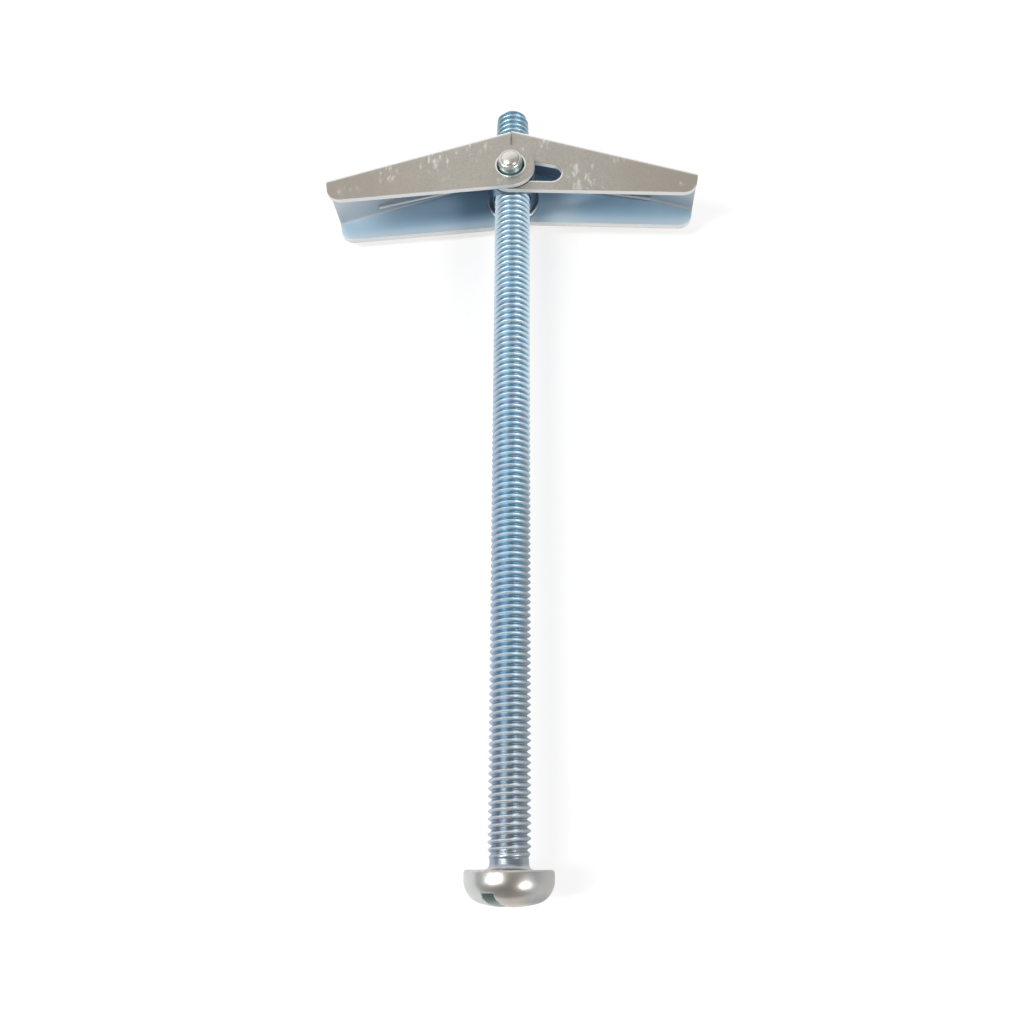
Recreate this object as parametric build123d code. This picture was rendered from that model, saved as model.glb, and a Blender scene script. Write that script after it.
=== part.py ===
from build123d import *
import math
import os

# Spring toggle bolt, M5 x 100, lying with the screw along Y and the wings open to both sides.
# The origin is the middle of the flat face under the screw head. The screw tip points to +Y.
# All lengths are in millimetres and all angles in degrees.

# Screw
thread_diameter = 4.9
screw_length = 100.0
tip_chamfer = 0.6
neck_fillet = 0.5
head_diameter = 9.8
head_height = 3.75
head_side_height = 1.0
head_edge_radius = 0.3
crown_radius = 13.0
slot_width = 1.4
slot_depth = 1.5
slot_turn = 27.0

# Trunnion nut
tip_past_pivot = 11.4
barrel_diameter = 6.4
pin_diameter = 3.2
pin_proud = 1.6
pin_round = 0.4
bore_clearance = 0.06
bore_chamfer = 0.25
barrel_side_clearance = 0.1

# Wings: folded sheet channels, open towards the head. The right one fits inside the left one.
sheet = 0.8
channel_width = 9.8
bend_radius = 0.35
wing_reach = 24.95
left_web_rise = 6.0
left_web_droop = 15.9
right_web_rise = 7.0
right_web_droop = 18.4
edge_droop = 3.7
ear_radius = 3.2
ear_gap = 0.12
wing_set_back = 0.3
seam_gap = 0.2
end_slant = 0.55
end_corner_radius = 1.8
pin_hole_diameter = 3.7
slot_end_diameter = 2.7
slot_run = 5.5
slot_droop = 9.0
screw_notch_radius = 3.1

# Torsion spring
wire_diameter = 0.42
coil_clearance = 0.05
turn_gap = 0.06
leg_length = 18.8
leg_clearance = 0.05

# Cutting tools reach this far past the metal
overrun = 2.0

thread_radius = thread_diameter / 2
head_radius = head_diameter / 2
barrel_radius = barrel_diameter / 2
pin_radius = pin_diameter / 2
wire_radius = wire_diameter / 2
pivot_height = screw_length - tip_past_pivot
inner_channel_width = channel_width - 2 * (sheet + ear_gap)


def turned(angle, radius):
    """A point on a circle about the origin."""
    return (radius * math.cos(math.radians(angle)), radius * math.sin(math.radians(angle)))


def web_depth(web_rise, web_droop):
    """Distance from the pivot to the under side of a web."""
    return web_rise * math.cos(math.radians(web_droop)) - sheet


def make_screw():
    """Pan head screw: one turned profile, then the driver slot."""
    # The corner arc touches both the crown arc and the straight side of the head.
    crown_centre = crown_radius - head_height
    rise = crown_centre + head_side_height
    corner_radius = (crown_radius**2 - head_radius**2 - rise**2) / (2 * (crown_radius - head_radius))
    corner_x = head_radius - corner_radius
    touch_angle = math.degrees(math.atan2(-head_side_height - crown_centre, corner_x))
    mid_crown = turned((touch_angle - 90) / 2, crown_radius)
    mid_corner = turned(touch_angle / 2, corner_radius)
    touch = turned(touch_angle, crown_radius)
    tip_radius = thread_radius - tip_chamfer
    neck_mid = neck_fillet * (1 - math.sqrt(0.5))
    edge_mid = head_edge_radius * (1 - math.sqrt(0.5))
    top = (0, -head_height)
    crown_end = (touch[0], crown_centre + touch[1])
    side_start = (head_radius, -head_side_height)
    side_end = (head_radius, -head_edge_radius)
    seat_start = (head_radius - head_edge_radius, 0)
    seat_end = (thread_radius + neck_fillet, 0)
    shank_start = (thread_radius, neck_fillet)
    shank_end = (thread_radius, screw_length - tip_chamfer)
    tip_edge = (tip_radius, screw_length)
    tip_middle = (0, screw_length)
    profile = [
        ThreePointArc(top, (mid_crown[0], crown_centre + mid_crown[1]), crown_end),
        ThreePointArc(crown_end, (corner_x + mid_corner[0], mid_corner[1] - head_side_height), side_start),
        Line(side_start, side_end),
        ThreePointArc(side_end, (head_radius - edge_mid, -edge_mid), seat_start),
        Line(seat_start, seat_end),
        ThreePointArc(seat_end, (thread_radius + neck_mid, neck_mid), shank_start),
        Line(shank_start, shank_end),
        Line(shank_end, tip_edge),
        Line(tip_edge, tip_middle),
        Line(tip_middle, top),
    ]
    screw = revolve(make_face(profile), Axis.Y)
    cut_height = slot_depth + overrun
    slot = Box(slot_width, cut_height, head_diameter + overrun)
    slot = Pos(0, slot_depth - head_height - cut_height / 2, 0) * slot
    return screw - Rot(0, -slot_turn, 0) * slot


def make_nut():
    """Cross barrel with a pin at each end, bored for the screw."""
    barrel = Cylinder(barrel_radius, inner_channel_width - 2 * (sheet + barrel_side_clearance))
    pin = Cylinder(pin_radius, channel_width + 2 * pin_proud)
    pin = fillet(pin.edges().filter_by(GeomType.CIRCLE), pin_round)
    bore_radius = thread_radius + bore_clearance
    bore = Rot(90, 0, 0) * Cylinder(bore_radius, barrel_diameter + overrun)
    nut = Pos(0, 0, -wing_set_back) * (barrel + pin) - bore
    # A cone opens each mouth of the bore where the barrel stands highest.
    cone = Cone(bore_radius, bore_radius + bore_chamfer, bore_chamfer)
    for turn in (-90, 90):
        nut -= Rot(turn, 0, 0) * Pos(0, 0, barrel_radius - bore_chamfer / 2) * cone
    return Pos(0, pivot_height, 0) * nut


def make_wing(width, web_rise, web_droop, front_hole):
    """Right-hand wing about its own pivot: a folded channel with two round ears."""
    web_fall = math.tan(math.radians(web_droop))
    edge_fall = math.tan(math.radians(edge_droop))
    edge_start = ear_radius / math.cos(math.radians(edge_droop))
    seam = seam_gap / 2
    low_u = wing_reach - end_slant
    top_inner = (seam, web_rise - seam * web_fall)
    top_outer = (wing_reach, web_rise - wing_reach * web_fall)
    low_outer = (low_u, -edge_start - low_u * edge_fall)
    ear_low = turned(-90 - edge_droop, ear_radius)
    ear_top = (seam, math.sqrt(ear_radius**2 - seam**2))
    outline = [
        Line(top_inner, top_outer),
        Line(top_outer, low_outer),
        Line(low_outer, ear_low),
        ThreePointArc(ear_low, (-ear_radius, 0), ear_top),
        Line(ear_top, top_inner),
    ]
    side = make_face(outline)
    side = fillet(side.vertices().sort_by_distance(low_outer)[0], end_corner_radius)
    blank = extrude(side, width / 2, both=True)
    web_normal = Vector(0, 1, 0).rotate(Axis.Z, -web_droop)
    web_top = blank.faces().sort_by(lambda f: f.normal_at().dot(web_normal))[-1]
    folds = web_top.edges().filter_by(Axis((0, 0, 0), Vector(1, 0, 0).rotate(Axis.Z, -web_droop)))
    blank = fillet(folds, bend_radius + sheet)
    # The hollow of the channel lies under the web and runs out past both ends.
    hollow_length = 2 * (wing_reach + overrun)
    hollow_depth = 2 * web_rise + wing_reach * edge_fall + overrun
    hollow = Box(hollow_length, hollow_depth, width - 2 * sheet)
    hollow = fillet(hollow.edges().filter_by(Axis.X).group_by(Axis.Y)[-1], bend_radius)
    hollow = Pos(0, web_depth(web_rise, web_droop) - hollow_depth / 2, 0) * hollow
    wing = blank - Rot(0, 0, -web_droop) * hollow
    # A round notch in the web lets the screw through, and a hole in each ear takes a pin.
    tall = web_rise + overrun
    notch = Rot(90, 0, 0) * Cylinder(screw_notch_radius, tall)
    wing -= Pos(0, tall / 2, wing_set_back) * notch
    wing -= extrude(front_hole, width)
    wing -= extrude(pin_hole, -width)
    return wing


def make_spring():
    """One turn of wire round the barrel, with a straight leg under each web."""
    coil_radius = barrel_radius + coil_clearance + wire_radius
    first_turn = thread_radius + coil_clearance + wire_radius

    def leg_droop(web_rise, web_droop):
        """The droop of a leg whose end lies just under its web."""
        reach = web_depth(web_rise, web_droop) - leg_clearance - wire_radius
        return web_droop - math.degrees(math.asin((reach - coil_radius) / leg_length))

    def half_turn(turns_back, tilt, start, sweep_angle):
        """Half a turn of the wire in a plane that is tilted about X, some turns behind the first one."""
        bow = CenterArc((0, 0), coil_radius, start, sweep_angle)
        return Pos(0, 0, -first_turn - turns_back * coil_pitch) * Rot(tilt, 0, 0) * bow

    # The two half turns meet under the barrel, and each leg runs on from the end of its half.
    coil_pitch = wire_diameter + turn_gap
    tilt = math.degrees(math.asin(coil_pitch / (4 * coil_radius)))
    right_droop = leg_droop(right_web_rise, right_web_droop)
    left_droop = leg_droop(left_web_rise, left_web_droop)
    right_half = half_turn(3 / 4, -tilt, 90 - right_droop, 180 + right_droop)
    left_half = half_turn(1 / 4, tilt, 270, 180 + left_droop)
    right_leg = Line(right_half @ 0 - right_half % 0 * leg_length, right_half @ 0)
    left_leg = Line(left_half @ 1, left_half @ 1 + left_half % 1 * leg_length)
    disc = Plane(right_leg @ 0, z_dir=right_leg % 0) * Circle(wire_radius)
    spring = sweep(disc, path=Wire([right_leg, right_half, left_half, left_leg]))
    return Pos(0, pivot_height, 0) * spring


pin_hole = Circle(pin_hole_diameter / 2)
slot_end = Pos(slot_run, 0, 0) * Circle(slot_end_diameter / 2)
slot_hole = Rot(0, 0, -slot_droop) * make_hull(pin_hole.edges() + slot_end.edges())

# The two channels share the pins. The right ears lie inside the left ones.
wing_place = Pos(0, pivot_height, -wing_set_back)
outer_wing = make_wing(channel_width, left_web_rise, left_web_droop, pin_hole)
inner_wing = make_wing(inner_channel_width, right_web_rise, right_web_droop, slot_hole)

nodes = {
    "machine_screw": make_screw(),
    "trunnion_nut": make_nut(),
    "torsion_spring": make_spring(),
    "left_wing": wing_place * mirror(outer_wing, about=Plane.YZ),
    "right_wing": wing_place * inner_wing,
}

os.makedirs("parts", exist_ok=True)
for name, shape in nodes.items():
    export_step(shape, f"parts/{name}.step")
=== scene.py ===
# %% [markdown]
# A spring toggle bolt holds things to hollow walls. A long screw carries a small cross-shaped nut
# near its tip, and two folded sheet-metal wings swing on the pins of that nut. A spring keeps the
# wings open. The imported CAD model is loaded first, as a frame. Every piece made below is in
# metres, in that same frame: the screw lies along Y with its tip at +Y, the wings' pivot stands
# along Z, and the head's seat is at y = 0.

# %% Load the frame
import math
import bpy
from mathutils import Matrix, Vector
from types import SimpleNamespace


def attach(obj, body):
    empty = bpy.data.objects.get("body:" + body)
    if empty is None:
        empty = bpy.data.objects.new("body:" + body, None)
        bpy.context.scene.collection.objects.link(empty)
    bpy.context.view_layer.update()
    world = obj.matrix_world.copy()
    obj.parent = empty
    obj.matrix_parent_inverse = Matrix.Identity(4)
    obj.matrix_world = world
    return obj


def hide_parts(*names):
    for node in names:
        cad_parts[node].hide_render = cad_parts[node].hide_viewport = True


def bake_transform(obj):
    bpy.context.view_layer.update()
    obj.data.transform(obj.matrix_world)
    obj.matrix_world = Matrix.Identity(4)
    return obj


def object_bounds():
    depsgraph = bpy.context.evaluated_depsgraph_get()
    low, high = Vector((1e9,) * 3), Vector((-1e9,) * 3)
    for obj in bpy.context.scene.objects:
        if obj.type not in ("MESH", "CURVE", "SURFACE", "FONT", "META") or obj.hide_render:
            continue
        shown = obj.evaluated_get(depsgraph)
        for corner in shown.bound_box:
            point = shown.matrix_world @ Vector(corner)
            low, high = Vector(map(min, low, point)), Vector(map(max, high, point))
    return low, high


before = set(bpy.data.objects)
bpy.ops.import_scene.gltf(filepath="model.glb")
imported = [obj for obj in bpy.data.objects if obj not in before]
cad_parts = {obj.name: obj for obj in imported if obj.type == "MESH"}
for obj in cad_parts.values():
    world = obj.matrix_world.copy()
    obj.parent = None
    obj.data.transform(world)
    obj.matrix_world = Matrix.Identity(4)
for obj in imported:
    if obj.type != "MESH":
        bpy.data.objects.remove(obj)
cad_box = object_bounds()
mm = 0.001
print("box:", [[round(c, 4) for c in corner] for corner in cad_box])

# %% [markdown]
# A finish is a set of shader nodes. Wiring them by hand is slow to read, so one small class wraps
# a socket: sums and products of wrapped sockets add Math nodes, and one method adds any other
# node. A colour is then built like paint: a ground, and layers over it, each with a mask that says
# where.

# %% Shader arithmetic


class Value:
    """A shader socket that can be used in Python arithmetic."""

    def __init__(self, tree, socket=None):
        self.tree = tree
        self.socket = socket

    def node(self, kind, settings=None, inputs=None, output=0):
        """Adds a node: its settings first, then the values or links of its sockets."""
        made = self.tree.nodes.new(kind)
        for name, setting in (settings or {}).items():
            setattr(made, name, setting)
        for name, value in (inputs or {}).items():
            if isinstance(value, Value):
                self.tree.links.new(value.socket, made.inputs[name])
            else:
                made.inputs[name].default_value = value
        return Value(self.tree, made.outputs[output])

    def maths(self, operation, *others):
        """Adds a Math node with this value as its first input."""
        inputs = dict(enumerate((self, *others)))
        return self.node("ShaderNodeMath", {"operation": operation}, inputs)

    def __add__(self, other):
        return self.maths("ADD", other)

    def __mul__(self, other):
        return self.maths("MULTIPLY", other)

    def __sub__(self, other):
        return self.maths("SUBTRACT", other)

    def __rsub__(self, other):
        return self.node("ShaderNodeMath", {"operation": "SUBTRACT"}, {0: other, 1: self})

    def __pow__(self, other):
        return self.maths("POWER", other)

    __radd__ = __add__
    __rmul__ = __mul__

    def step(self, low, high):
        """Goes smoothly from 0 at low to 1 at high. Low may be the larger one."""
        if low <= high:
            ends = {1: low, 2: high, 3: 0.0, 4: 1.0}
        else:
            ends = {1: high, 2: low, 3: 1.0, 4: 0.0}
        settings = {"interpolation_type": "SMOOTHSTEP"}
        return self.node("ShaderNodeMapRange", settings, {0: self, **ends})

    def tint(self, colour_at_0, colour_at_1):
        """A colour between two others, with this value as the share of the second."""
        settings = {"data_type": "RGBA", "clamp_factor": True}
        return self.node("ShaderNodeMix", settings, {0: self, 6: colour_at_0, 7: colour_at_1}, 2)

    def noise(self, scale, detail=2.0, roughness=0.5):
        """Noise on this vector. The scale is in waves per metre."""
        inputs = {"Vector": self, "Scale": scale, "Detail": detail, "Roughness": roughness}
        return self.node("ShaderNodeTexNoise", None, inputs, "Fac")

    def stretched(self, turn, scale):
        """These coordinates turned about Z and stretched, for marks with a direction."""
        inputs = {"Vector": self, "Rotation": (0.0, 0.0, math.radians(turn)), "Scale": scale}
        return self.node("ShaderNodeMapping", None, inputs)

    def near(self, centre, radius, core=0.3):
        """1 in the core of a round spot, falling to 0 at its radius. The core is a share of it."""
        settings = {"operation": "DISTANCE"}
        distance = self.node("ShaderNodeVectorMath", settings, {0: self, 1: centre}, "Value")
        return distance.step(radius, core * radius)

    def axis(self, letter):
        """One coordinate of this vector."""
        return self.node("ShaderNodeSeparateXYZ", None, {0: self}, letter)


def rgb(red, green, blue):
    return (red, green, blue, 1.0)


def grey(level):
    return rgb(level, level, level)


def layered(colour, layers):
    """Lays paints over a colour in turn. A layer is a mask, the most it covers, and a paint."""
    for mask, cover, paint in layers:
        colour = (mask * cover).tint(colour, paint)
    return colour


def new_finish(name):
    """A metal material. Returns it with its shader and its object coordinates."""
    material = bpy.data.materials.new(name)
    material.use_nodes = True
    shader = material.node_tree.nodes["Principled BSDF"]
    shader.inputs["Metallic"].default_value = 1.0
    place = Value(material.node_tree).node("ShaderNodeTexCoord", output="Object")
    return material, shader, place


def plug(shader, **values):
    """Links wrapped values to the shader's sockets."""
    for name, value in values.items():
        value.tree.links.new(value.socket, shader.inputs[name.replace("_", " ")])


def bumped(height, distance, strength):
    """Normals from a height pattern."""
    inputs = {"Height": height, "Distance": distance, "Strength": strength}
    return height.node("ShaderNodeBump", None, inputs, "Normal")


print("finish helpers ready")

# %% [markdown]
# The screw is bright zinc with a blue passivation. The blue is strongest on the thread and fades to
# a neutral silver on the head. Distance from the axis tells crests from grooves, and the grooves
# are darkened by painted shade. Painted shade also darkens the plain neck under the head, the left
# and the right side of the shank, and the driver slot, which is painted a dark teal. The right side
# of the shank is also rougher.

# %% Screw finish
shank_radius = 2.45 * mm
thread_crest = 2.39 * mm
thread_root = 1.95 * mm
head_height = 3.75 * mm
slot_width = 1.4 * mm
slot_depth = 1.5 * mm
slot_turn = 27.0


def sine_cosine(degrees):
    return math.sin(math.radians(degrees)), math.cos(math.radians(degrees))


def thread_colour(x, y, radius, blue, dull_and_shaded_side, stain):
    """Pale crests over grooves darkened by painted shade, bluer away from the head."""
    # The grooves' darker colour is painted shade in the roots of the thread.
    grooves = blue.tint(rgb(0.33, 0.39, 0.44), rgb(0.16, 0.34, 0.47))
    crests = blue.tint(rgb(0.68, 0.71, 0.73), rgb(0.63, 0.77, 0.85))
    crest = radius.step(thread_root + 0.04 * mm, thread_crest - 0.1 * mm)
    neck = y.step(1.9 * mm, 1.0 * mm)
    shaded_left_side = x.step(-0.8 * mm, -1.8 * mm) * y.step(80 * mm, 45 * mm)
    tip = y.step(92 * mm, 98 * mm)
    layers = [
        # Painted shade: the plain neck next to the head is darker.
        (neck, 0.85, rgb(0.24, 0.30, 0.36)),
        # Painted shade: the right side of the shank is darker; it is also rougher.
        (dull_and_shaded_side, 0.85, rgb(0.36, 0.41, 0.44)),
        # Painted shade: the left side of the shank is a darker blue.
        (shaded_left_side, 0.5, rgb(0.30, 0.38, 0.53)),
        (tip, 0.5, rgb(0.30, 0.48, 0.60)),
        (stain.step(0.5, 0.72), 0.35, rgb(0.40, 0.42, 0.56)),
    ]
    return layered(crest.tint(grooves, crests), layers)


def head_colour(x, y, patch, stain):
    """Neutral silver, tanned in the middle, with painted shade that makes it greyer on the right
    and on the crown.
    """
    silver = patch.tint(rgb(0.50, 0.51, 0.49), rgb(0.62, 0.65, 0.64))
    right = x.step(1.2 * mm, 4.2 * mm)
    crown = y.step(-2.0 * mm, -3.2 * mm) * x.step(-1.5 * mm, 0.5 * mm)
    tanned = x.step(-3.2 * mm, -1.5 * mm) * x.step(2.5 * mm, 1.0 * mm)
    layers = [
        # Painted shade: greyer on the right side and darker on the right of the crown.
        (right, 0.8, rgb(0.40, 0.39, 0.37)),
        (crown, 0.9, rgb(0.27, 0.27, 0.26)),
        (tanned, 0.5, rgb(0.56, 0.48, 0.40)),
        (stain.step(0.52, 0.7), 0.5, rgb(0.47, 0.41, 0.39)),
    ]
    return layered(silver, layers)


def slot_shade_mask(x, y, z):
    """1 on the walls and the bottom of the driver slot."""
    sine, cosine = sine_cosine(slot_turn)
    across = (x * cosine + z * sine).maths("ABSOLUTE")
    between_walls = across.step(slot_width / 2 + 0.05 * mm, slot_width / 2 - 0.02 * mm)
    bottom = slot_depth - head_height
    return between_walls * y.step(bottom + 0.1 * mm, bottom)


def make_screw_finish():
    material, shader, place = new_finish("screw_blue_zinc")
    x, y, z = (place.axis(letter) for letter in "XYZ")
    radius = (x * x + z * z) ** 0.5
    patch = place.noise(scale=330.0, detail=3.0)
    grain = place.noise(scale=5200.0)
    stain = place.stretched(turn=20, scale=(1.0, 0.4, 1.0)).noise(scale=800.0)
    shank = y.step(-0.2 * mm, 0.8 * mm)
    blue = y.step(0.0, 36 * mm)
    dull_and_shaded_side = x.step(0.7 * mm, 2.0 * mm) * y.step(64 * mm, 30 * mm)
    threaded = thread_colour(x, y, radius, blue, dull_and_shaded_side, stain)
    ground = shank.tint(head_colour(x, y, patch, stain), threaded)
    layers = [
        # Painted shade: the driver slot is a dark teal.
        (slot_shade_mask(x, y, z), 0.8, rgb(0.22, 0.32, 0.34)),
        (grain.step(0.5, 0.8), 0.25, rgb(0.36, 0.37, 0.38)),
    ]
    satin_shank = 0.02 + 0.11 * blue + 0.24 * dull_and_shaded_side
    satin_head = 0.18 * x.step(1.2 * mm, 4.4 * mm)
    satin = shank * satin_shank + (1 - shank) * satin_head
    roughness = 0.24 + satin + 0.08 * patch + 0.06 * grain
    normal = bumped(grain + 0.6 * patch, distance=0.001 * mm, strength=0.15)
    plug(shader, Base_Color=layered(ground, layers), Roughness=roughness, Normal=normal)
    return material


screw_finish = make_screw_finish()
print("finish:", screw_finish.name)

# %% [markdown]
# Modelling helpers. Operators act on what is selected, so each helper first clears the selection.
# A drawn line is a single vertex that is extruded from point to point, and a drawn shape is a
# filled circle whose corners are put where the outline needs them.

# %% Drawing helpers
weld_distance = 0.0005 * mm


def clear_selection():
    if bpy.context.object and bpy.context.object.mode == "EDIT":
        bpy.ops.object.mode_set(mode="OBJECT")
    bpy.ops.object.select_all(action="DESELECT")


def pick(piece):
    """Makes a piece the only selected one."""
    clear_selection()
    piece.select_set(True)
    bpy.context.view_layer.objects.active = piece


def edit_all(piece):
    """Opens a piece in edit mode with everything selected."""
    pick(piece)
    bpy.ops.object.mode_set(mode="EDIT")
    bpy.ops.mesh.select_all(action="SELECT")


def arc(centre, radius, start, end, count):
    """Points on an arc, from one angle in degrees to another."""
    angles = [math.radians(start + (end - start) * i / count) for i in range(count + 1)]
    return [(centre[0] + radius * math.cos(a), centre[1] + radius * math.sin(a)) for a in angles]


def draw_shape(name, corners):
    """A flat filled outline at z = 0, through the given (x, y) corners."""
    clear_selection()
    bpy.ops.mesh.primitive_circle_add(vertices=len(corners), radius=mm, fill_type="NGON")
    piece = bpy.context.object
    piece.name = name
    for vertex, corner in zip(piece.data.vertices, corners):
        vertex.co = (*corner, 0.0)
    return piece


def draw_line(name, points):
    """An open line through the given points, extruded from one vertex."""
    clear_selection()
    bpy.ops.mesh.primitive_plane_add(size=mm)
    piece = bpy.context.object
    piece.name = name
    edit_all(piece)
    bpy.ops.mesh.merge(type="CENTER")
    bpy.ops.transform.translate(value=points[0])
    for start, end in zip(points, points[1:]):
        move = {"value": Vector(end) - Vector(start)}
        bpy.ops.mesh.extrude_vertices_move(TRANSFORM_OT_translate=move)
    bpy.ops.object.mode_set(mode="OBJECT")
    return piece


def thicken(piece, low, high):
    """Stands a flat outline up between two heights."""
    edit_all(piece)
    bpy.ops.transform.translate(value=(0.0, 0.0, low))
    move = {"value": (0.0, 0.0, high - low)}
    bpy.ops.mesh.extrude_region_move(TRANSFORM_OT_translate=move)
    bpy.ops.mesh.select_all(action="SELECT")
    bpy.ops.mesh.normals_make_consistent(inside=False)
    bpy.ops.object.mode_set(mode="OBJECT")


print("drawing helpers ready")

# %% [markdown]
# A drawn profile becomes a piece by spinning or winding, cutting and beveling, much as on a lathe
# and a mill. Each step is a modifier that is applied at once. At the end a piece gets its finish,
# it is tied to the body that carries it, and the CAD node it stands for is hidden.

# %% Shaping helpers
tool_sides = 72


def apply_modifier(piece, kind, **settings):
    pick(piece)
    modifier = piece.modifiers.new(kind.lower(), kind)
    for name, value in settings.items():
        setattr(modifier, name, value)
    bpy.ops.object.modifier_apply(modifier=modifier.name)


def close_shell(piece):
    """Merges doubles and points every face outwards."""
    edit_all(piece)
    bpy.ops.mesh.remove_doubles(threshold=weld_distance)
    bpy.ops.mesh.normals_make_consistent(inside=False)
    bpy.ops.object.mode_set(mode="OBJECT")


def wind(piece, axis, steps, **rise):
    """Turns a drawn profile about an axis through the origin. A rise makes it a helix."""
    merging = dict(use_merge_vertices=True, merge_threshold=weld_distance)
    apply_modifier(piece, "SCREW", axis=axis, steps=steps, render_steps=steps, **merging, **rise)
    close_shell(piece)


def cut(piece, *tools):
    """Takes the tools' volumes out of the piece, and removes the tools."""
    for tool in tools:
        apply_modifier(piece, "BOOLEAN", operation="DIFFERENCE", solver="EXACT", object=tool)
        bpy.data.objects.remove(tool)


def break_edges(piece, width, segments, angle):
    """Small bevels on every edge sharper than the angle."""
    limits = dict(limit_method="ANGLE", angle_limit=math.radians(angle), use_clamp_overlap=False)
    apply_modifier(piece, "BEVEL", width=width, segments=segments, **limits)


def shift(piece, place):
    """Moves a piece's mesh, so that its object stays at the origin."""
    edit_all(piece)
    bpy.ops.transform.translate(value=place)
    bpy.ops.object.mode_set(mode="OBJECT")


def settle(piece):
    """Puts a piece's place, turn and scale into its mesh."""
    pick(piece)
    bpy.ops.object.transform_apply(location=True, rotation=True, scale=True)


def drill(radius, depth, place):
    """A round tool along Y."""
    clear_selection()
    size = dict(vertices=tool_sides, radius=radius, depth=depth)
    bpy.ops.mesh.primitive_cylinder_add(location=place, **size)
    tool = bpy.context.object
    tool.rotation_euler = (math.radians(90), 0.0, 0.0)
    settle(tool)
    return tool


def dress(piece, finish, slot, body, *nodes, angle=32, flat_faces=False):
    """Gives a finished piece its shading and its finish, and ties it to the frame."""
    pick(piece)
    bpy.ops.object.shade_smooth_by_angle(angle=math.radians(angle))
    # Weighted normals keep a large face flat right up to the narrow bevels round it.
    if flat_faces:
        apply_modifier(piece, "WEIGHTED_NORMAL", keep_sharp=True)
    piece.data.materials.clear()
    piece.data.materials.append(finish)
    if body:
        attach(piece, body)
    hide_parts(*nodes)
    print(piece.name, "has", sum(len(p.vertices) - 2 for p in piece.data.polygons), "triangles")


print("shaping helpers ready")

# %% [markdown]
# The thread is what makes the screw. One ridge is drawn as a short line, with a round root as
# rolling leaves it, and a Screw modifier winds it along the axis, so that the crest climbs by one
# pitch a turn. The ridge fades into the plain neck under the head. The last turns taper a little,
# and a chamfer ends them. Two planes then cut the helix to length, and each cut is closed with a
# face.

# %% Threaded shank
pitch = 0.8 * mm
screw_length = 100 * mm
tip_radius = 1.8 * mm
tip_slope = 0.9
taper_start = 94 * mm
taper_slope = 0.035
neck_radius = 2.14 * mm
shank_start = -1.2 * mm
thread_start = 0.9 * mm
thread_full = 2.1 * mm
steps_per_turn = 44
spare_turns = 4
cut_closeness = 0.0001 * mm
# No corner of the helix may fall on a cutting plane, so the ridge starts off a whole turn.
turns_below = 2.015


def ridge_profile():
    """Radius and rise of the corners of one ridge, from root to root."""
    # Half a ridge: shares of the pitch and of the ridge's height.
    half = [(0.0, 0.0), (0.07, 0.05), (0.14, 0.18), (0.33, 0.76), (0.41, 0.93), (0.5, 1.0)]
    whole = half + [(1 - share, height) for share, height in reversed(half[:-1])]
    depth = thread_crest - thread_root
    return [(thread_root + depth * height, share * pitch) for share, height in whole]


def shaped_radius(radius, y):
    """The radius of a corner of the thread after its fade, its taper and the chamfer."""
    fade = min(max((y - thread_start) / (thread_full - thread_start), 0.0), 1.0)
    wanted = neck_radius + (radius - neck_radius) * fade
    wanted -= taper_slope * max(y - taper_start, 0.0)
    return min(wanted, tip_radius + tip_slope * max(screw_length - y, 0.0))


def make_shank():
    below = shank_start - turns_below * pitch
    ridge = [(radius, below + rise, 0.0) for radius, rise in ridge_profile()]
    shank = draw_line("threaded_shank", ridge)
    turns = math.ceil((screw_length - shank_start) / pitch) + spare_turns
    wind(shank, "Y", steps_per_turn, screw_offset=pitch, iterations=turns)
    for vertex in shank.data.vertices:
        x, y, z = vertex.co
        radius = math.hypot(x, z)
        wanted = shaped_radius(radius, y)
        vertex.co = (x * wanted / radius, y, z * wanted / radius)
    edit_all(shank)
    for height, outward in ((shank_start, -1.0), (screw_length, 1.0)):
        plane = dict(plane_co=(0.0, height, 0.0), plane_no=(0.0, outward, 0.0))
        bpy.ops.mesh.select_all(action="SELECT")
        bpy.ops.mesh.bisect(clear_outer=True, threshold=cut_closeness, **plane)
        bpy.ops.mesh.edge_face_add()
    bpy.ops.object.mode_set(mode="OBJECT")
    close_shell(shank)
    return shank


shank = make_shank()
heights = [vertex.co.y for vertex in shank.data.vertices]
print("shank from", round(min(heights), 5), "to", round(max(heights), 5))

# %% [markdown]
# The pan head is a turned shape: a crown arc, a tighter corner arc, a short straight side and a
# flat seat that rises to the shank in a fillet. The profile is drawn once and spun, and a box cuts
# the driver slot. The head reaches a little way up inside the neck, where the two are joined.

# %% Screw head
head_radius = 4.9 * mm
head_side = 1.0 * mm
crown_radius = 13.0 * mm
head_edge = 0.3 * mm
neck_fillet = 0.6 * mm
head_top = 1.5 * neck_fillet
slot_tool_length = 2.4 * head_radius


def head_profile():
    """The turned outline as (radius, y), from the crown to the axis inside the neck."""
    crown_centre = crown_radius - head_height
    rise = crown_centre + head_side
    # The corner arc touches both the crown arc and the straight side.
    corner = (crown_radius**2 - head_radius**2 - rise**2) / (2 * (crown_radius - head_radius))
    touch = math.degrees(math.atan2(-rise, head_radius - corner))
    crown = arc((0.0, crown_centre), crown_radius, -90, touch, count=10)
    corner_arc = arc((head_radius - corner, -head_side), corner, touch, 0, count=12)
    seat_edge = arc((head_radius - head_edge, -head_edge), head_edge, 0, 90, count=5)
    fillet = arc((neck_radius + neck_fillet, neck_fillet), neck_fillet, 270, 180, count=6)
    top = [(neck_radius, head_top), (0.0, head_top)]
    return crown + corner_arc[1:] + seat_edge + fillet + top


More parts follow.
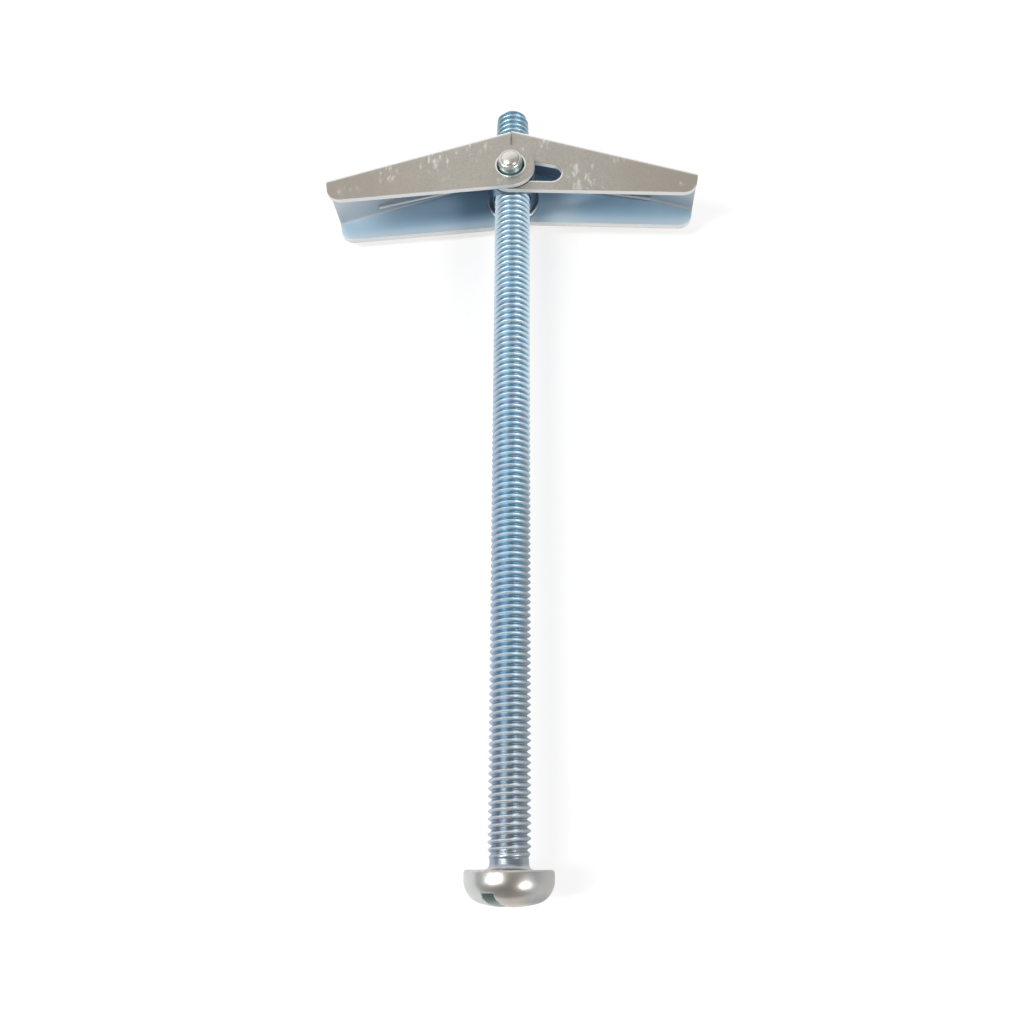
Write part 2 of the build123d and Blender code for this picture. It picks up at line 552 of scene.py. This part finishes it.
def make_slot_tool():
    clear_selection()
    bpy.ops.mesh.primitive_cube_add(size=1.0, location=(0.0, -head_height, 0.0))
    tool = bpy.context.object
    tool.scale = (slot_width, 2 * slot_depth, slot_tool_length)
    settle(tool)
    tool.rotation_euler = (0.0, math.radians(-slot_turn), 0.0)
    settle(tool)
    return tool


def make_head():
    head = draw_line("screw_head", [(x, y, 0.0) for x, y in head_profile()])
    wind(head, "Y", steps=96)
    cut(head, make_slot_tool())
    break_edges(head, width=0.09 * mm, segments=3, angle=40)
    return head


head = make_head()
pick(shank)
head.select_set(True)
bpy.ops.object.join()
screw = bpy.context.object
screw.name = "machine_screw_threaded"
dress(screw, screw_finish, "screw_zinc", "screw", "machine_screw")

# %% [markdown]
# The wings are folded sheet. On the real part a flat blank is stamped and bent into a channel, so
# the two bends are round outside and inside and every cut edge is square. The right channel is
# narrower by two sheets and fits inside the left one. The finish is grey and scuffed outside and
# bluish inside; the blue inside is partly the passivation and partly a painted reflection. Painted
# highlights brighten the bends, the rims of the front holes and the feet of the inner flanges, and
# painted shade darkens the webs near the screw and the outer faces towards the tips. The sheared
# edges are painted near white, partly for the bare metal and partly as a painted highlight. Each of
# these zones is found from the distance to a plane of the channel: the web, the lower edge, or the
# outer face of a flange.

# %% Wing sizes and zones
pivot_y = 88.6 * mm
set_back = 0.3 * mm
sheet = 0.8 * mm
ear_gap = 0.12 * mm
ear_radius = 3.2 * mm
edge_droop = 3.7
hole_radius = 1.85 * mm
slot_end_radius = 1.35 * mm
slot_run = 5.5 * mm
slot_droop = 9.0
outer_width = 9.8 * mm
inner_width = outer_width - 2 * (sheet + ear_gap)
left_shape = dict(side=-1, width=outer_width, rise=6.0 * mm, droop=15.9)
right_shape = dict(side=1, width=inner_width, rise=7.0 * mm, droop=18.4)


def wing_zones(place, side, width, rise, droop):
    """Masks for the parts of a channel, with the distances out from the pivot and up from it."""
    x, y, z = (place.axis(letter) for letter in "XYZ")
    zone = SimpleNamespace(out=side * x, up=y - pivot_y)
    web_sine, web_cosine = sine_cosine(droop)
    edge_sine, edge_cosine = sine_cosine(edge_droop)
    below_web = rise * web_cosine - (zone.out * web_sine + zone.up * web_cosine)
    above_edge = zone.out * edge_sine + zone.up * edge_cosine + ear_radius
    behind_face = width / 2 - (z + set_back).maths("ABSOLUTE")
    under_flange = behind_face.step(sheet - 0.15 * mm, sheet - 0.05 * mm)
    zone.inside = below_web.step(0.45 * mm, 0.6 * mm) * under_flange
    zone.outside = 1 - zone.inside
    past_bend = below_web.step(1.1 * mm, 1.3 * mm)
    zone.cut_edge = behind_face.step(0.04 * mm, 0.12 * mm) * past_bend * zone.outside
    bend = behind_face.step(0.02 * mm, 0.12 * mm) * below_web.step(0.02 * mm, 0.2 * mm)
    # Painted highlight along the outside of the bends.
    zone.worn_bend = bend * (1 - past_bend) * zone.outside
    zone.web_under = below_web.step(1.3 * mm, 0.95 * mm)
    # Painted highlight on the inner flanges, near their lower edge.
    zone.pale_foot = above_edge.step(1.7 * mm, 0.1 * mm) * (1 - zone.web_under)
    zone.tip = zone.out.step(6 * mm, 24 * mm)
    return zone


def hole_rim(zone, lip):
    """1 round the front hole, for a painted highlight on its rim. A lip of 1 is for the slot, whose
    lower side alone gets it.
    """
    sine, cosine = sine_cosine(slot_droop)
    along = zone.out * cosine - zone.up * sine
    aside = zone.out * sine + zone.up * cosine
    # Distance from the middle line of the hole, which is a point for a round hole.
    ends = {0: along, 1: 0.0, 2: slot_run, 3: 0.0, 4: lip}
    share = along.node("ShaderNodeMapRange", None, ends)
    beyond = along - share * slot_run
    radius = (beyond * beyond + aside * aside) ** 0.5
    from_hole = radius - (hole_radius - (hole_radius - slot_end_radius) * share)
    upper_side = aside.step(-0.4 * mm, 1.0 * mm)
    return from_hole.step(0.28 * mm, 0.14 * mm) * (1 - lip * upper_side)


print("wing channels", round(outer_width, 5), "and", round(inner_width, 5), "wide")

# %% [markdown]
# The finish itself lays these zones over each other. Scuffs are short pale strokes that gather
# round a few places where the wings have rubbed against others in the box. Inside, the plating is
# less like a mirror, so the metal share goes down and the blue, which is partly a painted
# reflection, shows by itself.

# %% Wing finish
# Near white for the painted highlights on the bends and the hole rims.
highlight_white = rgb(0.95, 0.95, 0.94)
# Places of the scuffs, in mm: x, height over the pivot, radius.
left_scuffs = [(-16.8, -0.5, 2.4), (-22.4, -3.0, 1.4), (-10.0, 2.2, 4.2), (-5.0, 3.6, 3.0)]
right_scuffs = [(9.5, -2.2, 3.2), (4.0, 4.0, 2.2)]


def scuff_marks(place, scuffs, width):
    strokes = place.stretched(turn=-20, scale=(1.0, 0.30, 1.0)).noise(scale=2300.0)
    rubbed = place.noise(scale=420.0, detail=1.0).step(0.56, 0.72) * 0.6
    for centre_x, centre_up, radius in scuffs:
        centre = (centre_x * mm, pivot_y + centre_up * mm, width / 2 - set_back)
        rubbed = rubbed + place.near(centre, radius * mm)
    return strokes.step(0.48, 0.76) * rubbed.step(0.0, 1.0)


def outer_colour(zone, cloud, grain, tip_shade):
    """Warm grey, darkened towards the tip by painted shade."""
    layers = [
        (grain.step(0.4, 0.7), 0.5, rgb(0.37, 0.34, 0.30)),
        # Painted shade: the outer face darkens towards the tip.
        (zone.tip, tip_shade, rgb(0.38, 0.34, 0.30)),
    ]
    return layered(cloud.tint(rgb(0.41, 0.39, 0.35), rgb(0.53, 0.50, 0.44)), layers)


def inner_colour(place, zone, cloud, lip, side, width):
    """Blue flanges with a painted highlight on their foot, and a web darkened near the screw by
    painted shade.
    """
    # A painted highlight: a pale spot on the inner face near the screw, on the right wing only.
    highlight_spot = (7.0 * side * mm, pivot_y - 1.2 * mm, sheet - width / 2 - set_back)
    # Painted shade: the underside of the web is dark near the screw and grey towards the tip.
    web = zone.tip.tint(rgb(0.14, 0.15, 0.22), rgb(0.60, 0.58, 0.57))
    web = zone.out.step(8.5 * mm, 6.0 * mm).tint(web, rgb(0.27, 0.31, 0.42))
    layers = [
        (cloud.step(0.35, 0.7), 0.4, rgb(0.47, 0.66, 0.80)),
        (place.near(highlight_spot, 3.6 * mm), 0.3 * lip, rgb(0.84, 0.90, 0.92)),
        (zone.web_under, 0.75, web),
        (zone.pale_foot, 0.6, rgb(0.86, 0.93, 0.94)),
    ]
    return layered(zone.tip.tint(rgb(0.48, 0.68, 0.82), rgb(0.56, 0.75, 0.89)), layers)


def make_wing_finish(name, shape, scuffs, tip_shade, lip):
    material, shader, place = new_finish(name)
    zone = wing_zones(place, **shape)
    cloud = place.noise(scale=260.0, detail=3.0)
    grain = place.noise(scale=4200.0, detail=3.0, roughness=0.6)
    marks = scuff_marks(place, scuffs, shape["width"])
    outer = outer_colour(zone, cloud, grain, tip_shade)
    inner = inner_colour(place, zone, cloud, lip, shape["side"], shape["width"])
    layers = [
        (marks * zone.outside, 0.6, rgb(0.92, 0.91, 0.89)),
        (zone.worn_bend, 0.8, highlight_white),
        # Painted highlight round the rim of the front hole.
        (hole_rim(zone, lip) * zone.outside, 0.8, highlight_white),
        # The sheared edges are painted near white: partly the bare metal, partly a painted
        # highlight.
        (zone.cut_edge, 0.9, rgb(0.92, 0.92, 0.90)),
    ]
    # The split between outer and inner colour is partly the passivation and partly a painted
    # reflection.
    colour = layered(zone.inside.tint(outer, inner), layers)
    metallic = 1 - zone.inside * (0.60 - 0.15 * zone.tip) - 0.70 * zone.cut_edge
    roughness = 0.34 + 0.10 * cloud + 0.10 * grain + 0.12 * marks - 0.08 * zone.inside
    normal = bumped(grain + 1.5 * marks, distance=0.006 * mm, strength=0.4)
    plug(shader, Base_Color=colour, Metallic=metallic, Roughness=roughness, Normal=normal)
    return material


left_finish = make_wing_finish("left_wing_zinc", left_shape, left_scuffs, tip_shade=0.78, lip=0.0)
right_finish = make_wing_finish("right_wing_zinc", right_shape, right_scuffs, tip_shade=0.75, lip=1.0)
print("finishes:", left_finish.name, right_finish.name)

# %% [markdown]
# A wing starts as its side outline. The lower corner at the tip is an arc that touches both edges,
# and the ear is an arc about the pivot. The front ear of the right wing has a slot that narrows
# outwards: two arcs joined by the straight lines that touch both.

# %% Wing outlines
wing_reach = 24.95 * mm
seam_gap = 0.03 * mm
end_slant = 0.55 * mm
end_corner = 1.8 * mm
hole_corners = 48


def wing_outline(side, rise, droop):
    """The flange's outline about the pivot, as (x, y) corners."""
    edge_sine, edge_cosine = sine_cosine(edge_droop)
    web_fall, edge_fall = math.tan(math.radians(droop)), math.tan(math.radians(edge_droop))
    seam = seam_gap / 2
    low_x = wing_reach - end_slant
    top_inner = Vector((seam, rise - seam * web_fall))
    top_outer = Vector((wing_reach, rise - wing_reach * web_fall))
    low_outer = Vector((low_x, -ear_radius / edge_cosine - low_x * edge_fall))
    to_top = (top_outer - low_outer).normalized()
    to_ear = Vector((-edge_cosine, edge_sine))
    half = to_top.angle(to_ear) / 2
    centre = low_outer + (to_top + to_ear).normalized() * end_corner / math.sin(half)
    end_normal = math.degrees(math.atan2(-to_top.x, to_top.y))
    corner = arc(centre, end_corner, end_normal, -90 - edge_droop, count=10)
    seam_angle = math.degrees(math.asin(seam / ear_radius))
    ear = arc((0.0, 0.0), ear_radius, -90 - edge_droop, -270 - seam_angle, count=40)
    points = [tuple(top_inner), tuple(top_outer)] + corner + ear
    return [(side * x, y) for x, y in points]


def slot_outline():
    """A slot that narrows away from the pivot: two arcs joined by their common tangents."""
    taper = math.degrees(math.asin((hole_radius - slot_end_radius) / slot_run))
    sine, cosine = sine_cosine(-slot_droop)
    far = (slot_run * cosine, slot_run * sine)
    upper, lower = 90 - taper - slot_droop, 270 + taper - slot_droop
    near_arc = arc((0.0, 0.0), hole_radius, upper, lower, count=24)
    return near_arc + arc(far, slot_end_radius, lower - 360, upper, count=20)


round_hole = arc((0.0, 0.0), hole_radius, 0, 360 - 360 / hole_corners, count=hole_corners - 1)
print("slot outline has", len(slot_outline()), "corners, round hole", len(round_hole))

# %% [markdown]
# The side outline is stood up to the channel's width and its two upper edges are beveled into
# bends. A longer block, with the smaller inner bends on its upper edges, then hollows it from
# below. The notch for the screw and the holes in the ears are cut last, and a fine bevel breaks
# the sheared edges so that they catch the light.

# %% Wings
bend_radius = 0.35 * mm
screw_notch = 3.1 * mm
# How nearly parallel to the web a fold is, and how near to a line a corner on it lies.
parallel = 0.9999
on_line = 0.01 * mm


def select_edges(piece, wanted):
    """Selects the edges for which the test on their two end points holds."""
    edit_all(piece)
    bpy.ops.mesh.select_mode(type="EDGE")
    bpy.ops.mesh.select_all(action="DESELECT")
    bpy.ops.object.mode_set(mode="OBJECT")
    for edge in piece.data.edges:
        a, b = (piece.data.vertices[i].co for i in edge.vertices)
        edge.select = wanted(a, b)
    bpy.ops.object.mode_set(mode="EDIT")


def round_edges(piece, radius, segments, wanted):
    """Bends: bevels the edges for which the test holds."""
    select_edges(piece, wanted)
    bpy.ops.mesh.bevel(offset=radius, offset_type="OFFSET", segments=segments, affect="EDGES")
    bpy.ops.mesh.select_mode(type="VERT")
    bpy.ops.object.mode_set(mode="OBJECT")


def hole_tool(corners, low, high):
    tool = draw_shape("hole_tool", corners)
    thicken(tool, low, high)
    return tool


def hollow_tool(side, width, rise, droop):
    """The block that hollows the channel: its upper face lies one sheet thickness under the web."""

    def is_upper(a, b):
        return max(abs(a.y), abs(b.y), abs(a.z - b.z)) < on_line

    length, depth = 2 * wing_reach, 3 * rise
    block = [(-length, -depth), (length, -depth), (length, 0.0), (-length, 0.0)]
    hollow = draw_shape("hollow_tool", block)
    thicken(hollow, sheet - width / 2, width / 2 - sheet)
    round_edges(hollow, bend_radius, segments=7, wanted=is_upper)
    turn = math.radians(-side * droop)
    under_web = rise * math.cos(math.radians(droop)) - sheet
    hollow.rotation_euler = (0.0, 0.0, turn)
    hollow.location = Matrix.Rotation(turn, 3, "Z") @ Vector((0.0, under_web, 0.0))
    settle(hollow)
    return hollow


def make_wing(name, front_hole, side, width, rise, droop):
    sine, cosine = sine_cosine(droop)
    along = Vector((side * cosine, -sine, 0.0))

    def is_fold(a, b):
        is_long = (b - a).length > wing_reach / 2
        return is_long and abs((b - a).normalized().dot(along)) > parallel

    wing = draw_shape(name, wing_outline(side, rise, droop))
    thicken(wing, -width / 2, width / 2)
    round_edges(wing, bend_radius + sheet, segments=9, wanted=is_fold)
    hollow = hollow_tool(side, width, rise, droop)
    notch_depth = 1.5 * rise
    notch = drill(screw_notch, notch_depth, (0.0, notch_depth / 2, set_back))
    front = hole_tool(front_hole, width / 4, width)
    rear = hole_tool(round_hole, -width, -width / 4)
    cut(wing, hollow, notch, front, rear)
    shift(wing, (0.0, pivot_y, -set_back))
    close_shell(wing)
    break_edges(wing, width=0.06 * mm, segments=2, angle=38)
    return wing


smoothing = dict(angle=28, flat_faces=True)
left_wing = make_wing("left_wing_folded", round_hole, **left_shape)
dress(left_wing, left_finish, "wing_zinc", "left_wing", "left_wing", **smoothing)
right_wing = make_wing("right_wing_folded", slot_outline(), **right_shape)
dress(right_wing, right_finish, "wing_zinc", "right_wing", "right_wing", **smoothing)

# %% [markdown]
# The nut is a turned cross barrel: thick in the middle, with a round pin at each end for the
# wings. The pins are staked, which leaves a low dome with a ring round it. The half outline is
# spun, and a cylinder along the screw bores it.

# %% Trunnion nut
barrel_radius = 3.2 * mm
barrel_gap = 0.1 * mm
barrel_edge = 0.2 * mm
barrel_end = inner_width / 2 - sheet - barrel_gap
pin_radius = 1.6 * mm
pin_proud = 1.6 * mm
pin_end = outer_width / 2 + pin_proud
bore_gap = 0.06 * mm
bore_radius = shank_radius + bore_gap
turning_marks = 9000.0
# The end of a pin, in mm: radius, and depth under the top of the dome.
pin_dome = [(0.0, 0.0), (0.3, 0.02), (0.6, 0.08), (0.9, 0.19), (1.1, 0.31), (1.17, 0.38)]
pin_rim = [(1.23, 0.38), (1.36, 0.42), (1.48, 0.5), (1.56, 0.62), (1.6, 0.8)]


def make_nut_finish():
    material, shader, place = new_finish("nut_zinc")
    cloud = place.noise(scale=420.0, detail=3.0)
    grain = place.noise(scale=5000.0)
    x, y, z = place.axis("X"), place.axis("Y") - pivot_y, place.axis("Z") + set_back
    radius = (x * x + y * y) ** 0.5
    turning = (z * turning_marks).maths("SINE")
    pin = z.maths("ABSOLUTE").step(barrel_end, barrel_end + 0.2 * mm)
    # Painted shade: a dark ring where the dome meets the rim.
    ring = radius.step(1.10 * mm, 1.16 * mm) * radius.step(1.26 * mm, 1.20 * mm)
    # Painted reflection: the pin's side wall is teal.
    wall = radius.step(1.46 * mm, 1.58 * mm)
    # Painted shade: the barrel is dark, as it sits in shade inside the channel.
    barrel_shade_colour = cloud.tint(rgb(0.14, 0.19, 0.25), rgb(0.25, 0.31, 0.37))
    pin_colour = cloud.tint(rgb(0.62, 0.58, 0.51), rgb(0.80, 0.78, 0.73))
    pin_layers = [(ring, 0.7, grey(0.20)), (wall, 0.8, rgb(0.36, 0.50, 0.54))]
    ground = pin.tint(barrel_shade_colour, layered(pin_colour, pin_layers))
    speckles = (grain.step(0.5, 0.8), 0.35, rgb(0.38, 0.40, 0.41))
    roughness = 0.27 + 0.08 * cloud + 0.02 * turning
    normal = bumped(grain + 0.3 * turning, distance=0.005 * mm, strength=0.3)
    plug(shader, Base_Color=layered(ground, [speckles]), Roughness=roughness, Normal=normal)
    return material


def make_nut():
    half = [(radius * mm, pin_end - depth * mm) for radius, depth in pin_dome + pin_rim]
    half += [(pin_radius, barrel_end), (barrel_radius - barrel_edge, barrel_end)]
    half += [(barrel_radius, barrel_end - barrel_edge)]
    profile = half + [(radius, -z) for radius, z in reversed(half)]
    nut = draw_line("trunnion_nut_turned", [(radius, 0.0, z) for radius, z in profile])
    wind(nut, "Z", steps=72)
    shift(nut, (0.0, pivot_y, -set_back))
    cut(nut, drill(bore_radius, 4 * barrel_radius, (0.0, pivot_y, 0.0)))
    break_edges(nut, width=0.05 * mm, segments=2, angle=50)
    return nut


nut = make_nut()
dress(nut, make_nut_finish(), "nut_zinc", "nut", "trunnion_nut")

# %% [markdown]
# The spring is one wire: a turn round the barrel and a straight leg under each web. The wire is
# made in two halves, one for each wing, that meet under the barrel, behind the screw. Each half is
# a drawn line that gets a round section.

# %% Torsion spring
wire_radius = 0.21 * mm
wire_gap = 0.05 * mm
turn_gap = 0.06 * mm
coil_radius = barrel_radius + wire_gap + wire_radius
coil_pitch = 2 * wire_radius + turn_gap
first_turn = shank_radius + wire_gap + wire_radius
leg_length = 18.8 * mm
turn_steps = 40
leg_steps = 12
# The leg's corners crowd towards the coil.
leg_crowding = 1.6


def make_wire_finish():
    material, shader, place = new_finish("spring_wire_steel")
    cloud = place.noise(scale=700.0)
    drawn = place.stretched(turn=0, scale=(0.05, 1.0, 1.0)).noise(scale=9000.0)
    colour = cloud.tint(rgb(0.68, 0.67, 0.66), rgb(0.90, 0.89, 0.87))
    roughness = 0.25 + 0.10 * drawn
    normal = bumped(drawn, distance=0.004 * mm, strength=0.3)
    plug(shader, Base_Color=colour, Roughness=roughness, Normal=normal)
    return material


def wire_points(side, width, rise, droop):
    """The line of one half of the wire, from the end of its leg to the bottom of the turn."""
    under_web = rise * math.cos(math.radians(droop)) - sheet - wire_gap - wire_radius
    leg_droop = droop - math.degrees(math.asin((under_web - coil_radius) / leg_length))
    tilt = side * math.asin(coil_pitch / (4 * coil_radius))
    centre = Vector((0.0, pivot_y, -first_turn - coil_pitch * (2 + side) / 4))
    start, end = math.radians(90 - side * leg_droop), math.radians(90 + side * 180)

    def tilted(across, up):
        return Vector((across, up * math.cos(tilt), -up * math.sin(tilt)))

    turn = []
    for i in range(turn_steps + 1):
        angle = start + (end - start) * i / turn_steps
        turn.append(centre + coil_radius * tilted(math.cos(angle), math.sin(angle)))
    along = side * tilted(math.sin(start), -math.cos(start))
    shares = [(i / leg_steps) ** leg_crowding for i in range(leg_steps, 0, -1)]
    return [turn[0] + along * leg_length * share for share in shares] + turn


def make_wire(name, shape):
    """Half of the wire: a drawn line that gets a round section and becomes a mesh."""
    draw_line(name, wire_points(**shape))
    bpy.ops.object.convert(target="CURVE")
    line = bpy.context.object.data
    line.bevel_depth = wire_radius
    line.bevel_resolution = 4
    line.use_fill_caps = True
    bpy.ops.object.convert(target="MESH")
    piece = bpy.context.object
    close_shell(piece)
    return piece


wire_finish = make_wire_finish()
halves = {
    "left_wing": ("spring_left_half", left_shape),
    "right_wing": ("spring_right_half", right_shape),
}
for wing, (name, shape) in halves.items():
    wire = make_wire(name, shape)
    dress(wire, wire_finish, "spring_wire", None, "torsion_spring")
    blend_end = (shape["side"] * barrel_radius, pivot_y, -first_turn)
    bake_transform(wire)

# %% [markdown]
# The bolt lies on a plain white table. The floor is lit like the bolt and keeps its shadow, and it
# also shines a little for rays from the camera or from a shiny surface, so that it comes out white
# behind the bolt.

# %% Floor
floor_size = 3.0
floor_grey = 0.35
floor_shine = 0.68


def make_floor():
    clear_selection()
    bpy.ops.mesh.primitive_plane_add(size=floor_size, location=(0.0, 0.0, cad_box[0][2]))
    floor = bpy.context.object
    floor.name = "table"
    material = bpy.data.materials.new("table_white")
    material.use_nodes = True
    tree = material.node_tree
    shader = tree.nodes["Principled BSDF"]
    shader.inputs["Base Color"].default_value = grey(floor_grey)
    shader.inputs["Roughness"].default_value = 0.9
    shader.inputs["Specular IOR Level"].default_value = 0.1
    shader.inputs["Emission Strength"].default_value = 1.0
    camera_ray, glossy_ray, transmission_ray = (
        Value(tree).node("ShaderNodeLightPath", output=f"Is {kind} Ray")
        for kind in ("Camera", "Glossy", "Transmission")
    )
    seen = camera_ray + glossy_ray + transmission_ray
    plug(shader, Emission_Color=seen.tint(grey(0.0), grey(floor_shine)))
    floor.data.materials.append(material)


make_floor()
print("floor at", round(cad_box[0][2], 5))

# %% [markdown]
# Metal shows what is round it, so the room matters as much as the lamps. It is an even grey that
# grows brighter towards a window behind the tip, with a darker patch overhead. Two soft lamps
# stand at the left and at the right, and give the thread its two bright lines.

# %% Light
room_light = 0.40
window_way = Vector((-0.25, 0.9, 0.3)).normalized()
window_light = 1.1
shade_way = Vector((0.0, -0.45, 0.9)).normalized()
shade_colour = rgb(0.25, 0.24, 0.23)
lamp_aim = Vector((0.0, 0.04, 0.0))


def make_world():
    world = bpy.data.worlds.new("studio")
    bpy.context.scene.world = world
    world.use_nodes = True
    background = world.node_tree.nodes["Background"]
    look = Value(world.node_tree).node("ShaderNodeTexCoord", output="Generated")
    settings = {"operation": "DOT_PRODUCT"}
    toward_window, toward_shade = (
        look.node("ShaderNodeVectorMath", settings, {0: look, 1: way}, "Value")
        for way in (window_way, shade_way)
    )
    # The steps are cosines of the angle to each way.
    sky = toward_window.step(0.30, 0.98).tint(grey(room_light), grey(window_light))
    sky = toward_shade.step(0.70, 0.96).tint(sky, shade_colour)
    world.node_tree.links.new(sky.socket, background.inputs["Color"])


def add_lamp(name, place, width, length, watts):
    """A soft oval lamp that points at the bolt."""
    clear_selection()
    bpy.ops.object.light_add(type="AREA", location=place)
    lamp = bpy.context.object
    lamp.name = name
    lamp.data.shape = "ELLIPSE"
    lamp.data.size = width
    lamp.data.size_y = length
    lamp.data.energy = watts
    lamp.rotation_euler = (lamp_aim - Vector(place)).to_track_quat("-Z", "Y").to_euler()


make_world()
add_lamp("left_lamp", place=(-0.31, -0.04, 0.46), width=0.09, length=0.34, watts=1.9)
add_lamp("right_lamp", place=(0.42, -0.24, 0.40), width=0.26, length=0.16, watts=1.5)

# %% [markdown]
# The photograph was taken from above the screw head, tilted by about twenty degrees towards the
# wings. The focal length and the place come from the spacing of the thread ridges, which shrinks
# towards the tip. Angles are in radians here.

# %% Camera
picture_px = 1024
focal_px = 986.3
sensor_width = 36.0
camera_height = 112.6 * mm
camera_tilt = 0.348
camera_spin = 0.0045
camera_shift = 0.13 * mm
camera_roll_about_screw = 0.0613
nearest_seen = 5 * mm

clear_selection()
bpy.ops.object.camera_add()
camera = bpy.context.object
camera.data.sensor_width = sensor_width
camera.data.lens = focal_px / picture_px * sensor_width
camera.data.clip_start = nearest_seen
roll = Matrix.Rotation(camera_roll_about_screw, 4, "Y")
aim = Matrix.Rotation(camera_tilt, 4, "X") @ Matrix.Rotation(camera_spin, 4, "Z")
camera.matrix_world = roll @ Matrix.Translation((camera_shift, 0.0, camera_height)) @ aim
bpy.context.scene.camera = camera
bpy.context.scene.view_settings.view_transform = "Standard"
print("camera at", [round(c, 4) for c in camera.matrix_world.translation])
